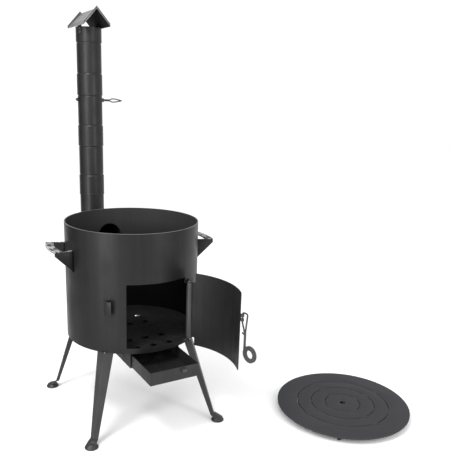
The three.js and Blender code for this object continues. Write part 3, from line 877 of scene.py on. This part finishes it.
@dataclass
class Door:
    """The curved fire door, drawn closed and swung open about its pin, with its hinge."""

    pin_radius_out: float = 0.205
    pin_angle: float = -57.4
    open_turn: float = 100.5
    outer: float = 0.203
    sheet: float = 0.002
    edge_angle: float = -124.738
    bottom: float = 0.241
    top: float = 0.467
    trim: float = 0.018
    trim_low: float = 0.266
    trim_high: float = 0.438
    sleeve_radius: float = 0.010
    sleeve_bore: float = 0.004
    sleeve_bottom: float = 0.2665
    sleeve_top: float = 0.4375
    pin_section: tuple[Pair, ...] = (
        (0.0, 0.258), (0.0027, 0.258), (0.0035, 0.2588), (0.0035, 0.4423),
        (0.0045, 0.4423), (0.0045, 0.4443), (0.0033, 0.4453), (0.0, 0.4453),
    )
    corner: float = 0.006
    corner_cut: float = 0.3
    hinge_gap: float = 0.0098
    weld_short: float = 0.002

    def pivot(self) -> Vector:
        """Gives the hinge pin's place on the ground."""
        return polar(self.pin_radius_out, self.pin_angle)

    def swing(self) -> Matrix:
        """Gives the turn that opens the closed door as it stands."""
        pivot = self.pivot()
        return Matrix.Translation(pivot) @ spin(self.open_turn) @ Matrix.Translation(-pivot)

    def build(self) -> None:
        """Builds the panel, the sleeve and its weld, the pin and the lugs."""
        hinge_edge = self.pin_angle - math.degrees(self.hinge_gap / self.outer)
        panel = moved(rolled(flat_pattern(self.outline(hinge_edge)), self.outer), self.swing())
        edging = Edging(wall=self.sheet, edge=0.0004)
        settle(panel, "door_sheet", "door", DOOR_PAINT, ["door_panel"], edging)
        place = Matrix.Translation(self.pivot())
        section = tube_section(self.sleeve_radius, self.sleeve_bore, self.sleeve_bottom, self.sleeve_top)
        sleeve = moved(turned(section, 64), place)
        settle(sleeve, "hinge_tube", "door", TUBE_PAINT, ["hinge_sleeve"], Edging(edge=0.0005))
        ends = (self.sleeve_bottom + self.weld_short, self.sleeve_top - self.weld_short)
        bead = weld_bead([polar(self.outer, hinge_edge, height) for height in ends], 0.0015)
        settle(moved(bead, self.swing()), "hinge_tube_weld", "door", DOOR_PAINT)
        pin = moved(turned(self.pin_section, 40), place)
        settle(pin, "hinge_pin_turned", "stove", FITTING_PAINT, ["hinge_pin"], Edging(edge=0.0002))
        dress(["hinge_lug_bottom", "hinge_lug_top"], "stove", FITTING_PAINT, 0.0005)

    def outline(self, hinge_edge: float) -> list[Pair]:
        """Draws the panel, trimmed round the sleeve and with its free corners cut off.

        Args:
            hinge_edge: The angle in degrees at which the panel meets the sleeve.

        Returns:
            The panel's corners in the flat pattern.
        """
        trimmed = self.pin_angle - math.degrees(self.trim / self.outer)
        free, round_off = self.edge_angle, math.degrees(self.corner / self.outer)
        cut, rise = round_off * self.corner_cut, self.corner * self.corner_cut
        return [
            (trimmed, self.bottom), (trimmed, self.trim_low),
            (hinge_edge, self.trim_low), (hinge_edge, self.trim_high),
            (trimmed, self.trim_high), (trimmed, self.top),
            (free + round_off, self.top), (free + cut, self.top - rise),
            (free, self.top - self.corner), (free, self.bottom + self.corner),
            (free + cut, self.bottom + rise), (free + round_off, self.bottom),
        ]


@dataclass
class Latch:
    """The bent wire latch with its ring pull, its bracket on the door and its keeper on the barrel."""

    door: Door
    axis_out: float = 0.2082
    edge_angle: float = -124.456
    rest_turn: float = -53.6
    top: float = 0.4115
    upper_start: float = 0.3961
    reach: float = 0.0192
    foot_reach: float = 0.0124
    tail_reach: float = 0.011
    tail_rise: float = 0.004
    neck_top: float = 0.357
    bend: float = 0.007
    wire: float = 0.0024
    stay_start: float = 0.397
    stay_end: float = 0.384
    neck: float = 0.0034
    pull_height: float = 0.3004
    pull_outer: float = 0.0234
    pull_inner: float = 0.012
    pull_thickness: float = 0.006

    def place(self) -> Matrix:
        """Gives the latch's own frame, on its pivot with X towards its loop."""
        pivot = Matrix.Translation(polar(self.axis_out, self.edge_angle))
        return self.door.swing() @ pivot @ spin(self.edge_angle + self.rest_turn)

    def build(self) -> None:
        """Builds the wire, the neck and the pull, and dresses the bracket and keeper."""
        foot, low = self.foot_reach, self.neck_top - self.bend
        loop = upright((0, self.upper_start), (0, self.top), (self.reach, self.top), (foot, low))
        stay = upright((0, self.stay_start), (0, self.stay_end), (foot, low))
        tail = upright((foot, low), (foot - self.tail_reach, low + self.tail_rise))
        straight = upright((foot, self.neck_top), (foot, self.pull_height))
        handle = combined(
            wire_body(bent(loop, self.bend), [self.wire]),
            wire_body(bent(stay, self.bend / 2), [self.wire]),
            wire_body(tail, [self.wire]),
            wire_body(spaced(straight, 0.006), [self.neck]),
            self.pull(),
        )
        edging = Edging(edge=0.0004, sharpest=50.0)
        moved(handle, self.place())
        settle(handle, "latch_wire", "latch", FITTING_PAINT, ["latch_handle"], edging)
        dress(["latch_bracket"], "door", FITTING_PAINT, 0.0003)
        dress(["latch_keeper"], "stove", BARREL_PAINT, 0.0005)

    def pull(self) -> Shape:
        """Draws the flat ring that is pulled, beside the neck.

        Returns:
            The ring in the latch's frame.
        """
        half = self.pull_thickness / 2
        ring = turned(tube_section(self.pull_outer, self.pull_inner, -half, half), 64)
        out = self.foot_reach + self.pull_outer - self.neck
        return moved(ring, move_to(out, 0, self.pull_height) @ spin(90, "X"))


@dataclass
class Drawer:
    """The folded ash drawer with its pull, and the two angle runners under the barrel."""

    def build(self) -> None:
        """Dresses the drawer, its pull and the runners."""
        dress(["ash_drawer"], "drawer", DRAWER_PAINT, 0.0007)
        dress(["drawer_pull"], "drawer", FITTING_PAINT, 0.0005)
        dress([f"drawer_runner_{side.name.lower()}" for side in Side], "stove", DRAWER_PAINT, 0.0005)


@dataclass
class Flue:
    """The stub welded in the barrel's rear wall and the elbow that turns the smoke upwards."""

    barrel_inner: float = 0.197
    barrel_outer: float = 0.200
    height: float = 0.510
    pipe: float = 0.0405
    wall: float = 0.0016
    stub_start: float = 0.15
    stub_end: float = 0.3047
    bend: float = 0.060
    bend_steps: int = 24
    chimney: float = 0.365
    rise_to: float = 0.664

    def build(self) -> None:
        """Builds the stub, the elbow and their welds."""
        stub = turned(tube_section(self.pipe, self.pipe - self.wall, self.stub_start, self.stub_end))
        moved(stub, spin(-90, "X"))
        for corner in stub.verts:
            if corner.co.y < self.barrel_outer:
                corner.co.y = math.sqrt(self.barrel_inner**2 - corner.co.x**2)
        moved(stub, move_to(0, 0, self.height))
        settle(stub, "stub_pipe", "stove", PIPE_PAINT, ["flue_stub"], Edging(edge=0.0003))
        low = Vector((0, self.chimney - self.bend, self.height))
        turns = [math.pi / 2 * step / self.bend_steps for step in range(self.bend_steps + 1)]
        quarter = [low + self.bend * Vector((0, math.sin(turn), 1 - math.cos(turn))) for turn in turns]
        route = quarter + [Vector((0, self.chimney, self.rise_to))]
        elbow = wire_body(route, [self.pipe], sides=72, capped=False)
        edging = Edging(wall=self.wall, edge=0.0003, sharpest=60.0)
        settle(elbow, "elbow_pipe", "stove", PIPE_PAINT, ["flue_elbow"], edging)
        settle(self.welds(), "flue_welds", "stove", PIPE_PAINT)

    def welds(self) -> Shape:
        """Draws the bead round the stub at the barrel and the one at the elbow.

        Returns:
            Both beads.
        """
        ring = circle(self.pipe)
        ring.append(ring[0])
        at_barrel = [Vector((x, math.sqrt(self.barrel_outer**2 - x**2), self.height + z)) for x, z in ring]
        at_elbow = [Vector((x, self.stub_end, self.height + z)) for x, z in ring]
        return combined(weld_bead(at_barrel, 0.0022), weld_bead(at_elbow, 0.0016))


@dataclass
class Chimney:
    """Three pipe sections, each slipped over the neck of the one below.

    A section's wall has a hem at its foot and a groove beside each end of its slimmer part, with
    lines close to the bends that keep the rest straight.
    """

    away: float = 0.365
    lift: float = 0.624
    pitch: float = 0.168
    pipe: float = 0.0405
    section: tuple[Pair, ...] = (
        (0.0419, 0.0), (0.0424, 0.0006), (0.0424, 0.0022), (0.0419, 0.0032), (0.0419, 0.0042),
        (0.0419, 0.064), (0.0419, 0.065), (0.0416, 0.066), (0.0396, 0.0696), (0.0396, 0.0714),
        (0.0405, 0.0726), (0.0405, 0.0736), (0.0405, 0.1622), (0.0405, 0.1632),
        (0.0396, 0.1642), (0.0396, 0.1666), (0.0405, 0.1676), (0.0405, 0.208),
        (0.0395, 0.208), (0.0395, 0.1676), (0.0386, 0.1666), (0.0386, 0.1642),
        (0.0395, 0.1632), (0.0395, 0.0726), (0.0386, 0.0714), (0.0386, 0.0696),
        (0.0409, 0.066), (0.0409, 0.0),
    )
    seam: float = 0.0011
    seam_heights: Pair = (0.073, 0.163)
    bodies: tuple[str, ...] = ("chimney_lower", "chimney_middle", "chimney_upper")

    def build(self) -> None:
        """Builds the sections and the folded seam down the back of each."""
        edging = Edging(edge=0.0003, sharpest=50.0)
        route = spaced([Vector((0, self.pipe, height)) for height in self.seam_heights], 0.01)
        for number, body in enumerate(self.bodies, start=1):
            place = move_to(0, self.away, self.lift + (number - 1) * self.pitch)
            section = moved(turned(self.section), place)
            node = f"pipe_section_{number}"
            settle(section, f"chimney_pipe_{number}", body, PIPE_PAINT, [node], edging)
            seam = moved(wire_body(route, [self.seam], sides=10), place)
            settle(seam, f"chimney_seam_{number}", body, PIPE_PAINT)


@dataclass
class Damper:
    """The damper's rod with its leaf-shaped loop, the plate, the bush and the nut."""

    away: float = 0.365
    height: float = 0.9445
    rod: float = 0.0036
    rod_left: float = -0.0485
    rod_right: float = 0.0675
    wire: float = 0.002
    loop_start: float = 0.0655
    loop_bulge: float = 0.015
    loop_end: float = 0.1135
    loop_half: float = 0.007
    bush: float = 0.0065
    bush_slip: float = 0.0003
    bush_start: float = 0.0402
    bush_end: float = 0.0475

    def build(self) -> None:
        """Builds the damper in its section."""
        place = move_to(0, self.away, self.height)
        rod = wire_body(upright((self.rod_left, 0), (self.rod_right, 0)), [self.rod])
        spindle = moved(combined(rod, *(self.loop_wire(side) for side in Side)), place)
        edging = Edging(edge=0.0004, sharpest=60.0)
        settle(spindle, "damper_spindle", "damper", FITTING_PAINT, ["damper_rod"], edging)
        section = tube_section(self.bush, self.rod + self.bush_slip, self.bush_start, self.bush_end)
        bush = moved(turned(section, 40), place @ spin(90, "Y"))
        edging = Edging(edge=0.0006)
        settle(bush, "damper_bush_turned", "chimney_middle", FITTING_PAINT, ["damper_bush"], edging)
        dress(["damper_nut"], "damper", FITTING_PAINT)
        dress(["damper_plate"], "damper", SOOT_PAINT, 0.0003)

    def loop_wire(self, side: Side) -> Shape:
        """Draws one half of the loop.

        Args:
            side: Upper half for the right side, lower half for the left.

        Returns:
            The bent wire, along X.
        """
        peak = (self.loop_start + self.loop_bulge, side.value * self.loop_half)
        route = upright((self.loop_start, 0), peak, (self.loop_end, 0))
        return wire_body(bent(route, self.loop_bulge, 10), [self.wire], sides=12)


@dataclass
class RainCap:
    """The collar, the two straps and the folded roof."""

    away: float = 0.365
    lift: float = 1.128
    outer: float = 0.0419
    inner: float = 0.0409
    height: float = 0.046
    strap: float = 0.002
    strap_angle: float = 30.0
    rivet: float = 0.0026
    rivet_heights: Pair = (0.028, 0.040)
    rivet_flatness: float = 0.5
    underside: float = -0.2

    def build(self) -> None:
        """Builds the cap."""
        collar = turned(tube_section(self.outer, self.inner, 0.0, self.height))
        moved(collar, move_to(0, self.away, self.lift))
        settle(collar, "cap_pipe", "rain_cap", PIPE_PAINT, ["cap_collar"], Edging(edge=0.0003))
        self.roof()
        dress(["cap_strap_left", "cap_strap_right"], "rain_cap", PIPE_PAINT)
        settle(self.rivets(), "cap_rivets", "rain_cap", FITTING_PAINT)

    def roof(self) -> None:
        """Finishes the roof, with painted shade on its downward faces."""
        shape = copied("cap_roof")
        for face in shape.faces:
            face.material_index = 1 if face.normal.z < self.underside else 0
        edging = Edging(edge=0.0003)
        settle(shape, "cap_roof_finished", "rain_cap", ROOF_PAINT, ["cap_roof"], edging, inside=ROOF_PAINTED_SHADE)

    def rivets(self) -> Shape:
        """Draws the domed rivets that hold the straps on the collar.

        Returns:
            The rivets.
        """
        heads = []
        flatten = Matrix.Diagonal((self.rivet_flatness, 1.0, 1.0, 1.0))
        for angle in (self.strap_angle, self.strap_angle + 180.0):
            for height in self.rivet_heights:
                head = bmesh.new()
                bmesh.ops.create_uvsphere(head, u_segments=20, v_segments=10, radius=self.rivet)
                spot = move_to(self.outer + self.strap, 0, self.lift + height)
                heads.append(moved(head, move_to(0, self.away, 0) @ spin(angle) @ spot @ flatten))
        return combined(*heads)


@dataclass
class RingSet:
    """The loose cast cooking rings, each hung in the next, on the outer ring's lugs."""

    edge: float = 0.0008
    edge_steps: int = 3

    def build(self) -> None:
        """Dresses the rings, the disc and the lugs."""
        bodies = {
            "ring_outer": ["outer_ring", *(f"ring_lug_{number}" for number in range(1, 5))],
            "ring_middle": ["middle_ring"],
            "ring_small": ["small_ring"],
            "ring_disc": ["centre_disc"],
        }
        for body, nodes in bodies.items():
            dress(nodes, body, RING_IRON, self.edge, self.edge_steps)


@dataclass(frozen=True)
class Panel:
    """A lamp or a card of the studio, in metres. Its level is its watts, or a card's tone."""

    name: str
    place: Point
    aim: Point
    size: Pair
    level: float


LAMPS = (
    Panel("overhead", (-0.2, -0.2, 3.0), (-0.26, 0.06, 0.4), (1.6, 1.6), 7.0),
    Panel("left_strip", (-1.68, -0.60, 0.95), (-0.26, 0.06, 0.6), (0.4, 1.8), 26.0),
    Panel("right_strip", (0.50, -1.75, 0.80), (-0.26, 0.06, 0.5), (0.3, 1.4), 12.0),
    Panel("inner_light", (-1.05, -0.55, 1.75), (-0.12, 0.2, 0.57), (0.35, 0.35), 16.0),
)
CARDS = (
    Panel("left_flag", (-1.3, 1.1, 0.75), (-0.26, 0.06, 0.5), (1.2, 1.5), 0.01),
    Panel("low_flag", (-1.25, 0.35, 0.012), (-1.25, 0.35, 1.0), (1.3, 1.6), 0.42),
)


@dataclass
class Studio:
    """A pale floor under soft light, and the camera where the photograph was taken."""

    camera_at: Point = (-0.934, -1.552, 0.9577)
    heading: float = 58.66
    pitch: float = 14.67
    roll: float = -0.0352
    lens: float = 45.22
    sensor: float = 36.0
    shift: Pair = (0.0104, 0.0453)
    farthest: float = 60.0
    floor_size: Pair = (28.0, 28.0)
    floor_tone: float = 0.94
    painted_shadow_tone: float = 0.80
    painted_shadow_centre: Point = (-0.28, -0.02, 0.0)
    painted_shadow_reach: Pair = (0.10, 0.80)
    sky: float = 1.08

    def build(self) -> None:
        """Builds the camera, the floor and the lights."""
        scene = bpy.context.scene
        scene.view_settings.view_transform = "Standard"
        scene.camera = self.camera()
        self.floor()
        self.surround()
        for lamp in LAMPS:
            self.softbox(lamp)
        for card in CARDS:
            self.flag(card)

    def camera(self) -> bpy.types.Object:
        """Makes the camera.

        Returns:
            The camera.
        """
        aim, tip = math.radians(self.heading), math.radians(self.pitch)
        forward = Vector((math.cos(tip) * math.cos(aim), math.cos(tip) * math.sin(aim), -math.sin(tip)))
        level = Vector((math.sin(aim), -math.cos(aim), 0.0))
        below = forward.cross(level)
        right = math.cos(self.roll) * level + math.sin(self.roll) * below
        down = math.cos(self.roll) * below - math.sin(self.roll) * level
        lens = bpy.data.cameras.new("photograph")
        lens.lens = self.lens
        lens.sensor_width = self.sensor
        lens.shift_x, lens.shift_y = self.shift
        lens.clip_end = self.farthest
        holder = linked("photograph", lens)
        turn = Matrix((right, -down, -forward)).transposed().to_4x4()
        holder.matrix_world = move_to(*self.camera_at) @ turn
        return holder

    def sheet(
        self, name: str, size: Pair, place: Matrix, material: bpy.types.Material
    ) -> bpy.types.Object:
        """Lays a flat sheet that belongs to the studio.

        Args:
            name: The sheet's name.
            size: Its width and height in metres.
            place: Where its middle is and which way it faces.
            material: What it is made of.

        Returns:
            The sheet.
        """
        shape = bmesh.new()
        bmesh.ops.create_grid(shape, x_segments=1, y_segments=1, size=0.5)
        drawn = as_mesh(moved(shape, place @ Matrix.Diagonal((*size, 1.0, 1.0))), name)
        drawn.materials.append(material)
        sheet = linked(name, drawn)
        return sheet

    def floor(self) -> None:
        """Lays the pale floor, with a painted shadow that darkens it towards the stove."""
        bench = NodeBench("studio_paper")
        place = bench.add("ShaderNodeTexCoord", {}).outputs["Object"]
        # Painted shadow: the floor's tone darkens towards a point under the stove.
        inputs = {0: place, 1: self.painted_shadow_centre}
        away = bench.add("ShaderNodeVectorMath", inputs, operation="DISTANCE").outputs["Value"]
        colour = bench.blend(bench.ramp(away, *self.painted_shadow_reach), self.painted_shadow_tone, self.floor_tone)
        paper = bench.shaded(Base_Color=colour, Roughness=0.9, Specular_IOR_Level=0.1)
        self.sheet("studio_floor", self.floor_size, Matrix.Identity(4), paper)

    def flag(self, card: Panel) -> None:
        """Stands a dark card that only shows in reflections.

        Args:
            card: The card's place, size and tone.
        """
        colour = (card.level, card.level, card.level, 1.0)
        bench = NodeBench(card.name)
        cloth = bench.shaded(Base_Color=colour, Roughness=1.0, Specular_IOR_Level=0.0)
        sheet = self.sheet(card.name, card.size, facing(card.place, card.aim), cloth)
        sheet.visible_camera = False
        sheet.visible_shadow = False
        sheet.visible_diffuse = False

    def surround(self) -> None:
        """Gives the scene its white surroundings."""
        world = bpy.data.worlds.new("white_studio")
        world.use_nodes = True
        backdrop = world.node_tree.nodes["Background"]
        backdrop.inputs["Color"].default_value = (1.0, 1.0, 1.0, 1.0)
        backdrop.inputs["Strength"].default_value = self.sky
        bpy.context.scene.world = world

    def softbox(self, panel: Panel) -> None:
        """Hangs a soft light.

        Args:
            panel: The light's place, size and power.
        """
        lamp = bpy.data.lights.new(panel.name, "AREA")
        lamp.shape = "RECTANGLE"
        lamp.size, lamp.size_y = panel.size
        lamp.energy = panel.level
        linked(panel.name, lamp).matrix_world = facing(panel.place, panel.aim)


def main() -> None:
    """Builds every sub-assembly in order."""
    logging.basicConfig(level=logging.INFO, format="%(message)s")
    door = Door()
    for part in (
        Studio(), Barrel(), *(Leg(corner) for corner in Corner), Handles(), door, Latch(door),
        Drawer(), Flue(), Chimney(), Damper(), RainCap(), RingSet(),
    ):
        part.build()
        log.info("built %s", type(part).__name__)


if __name__ == "__main__":
    main()
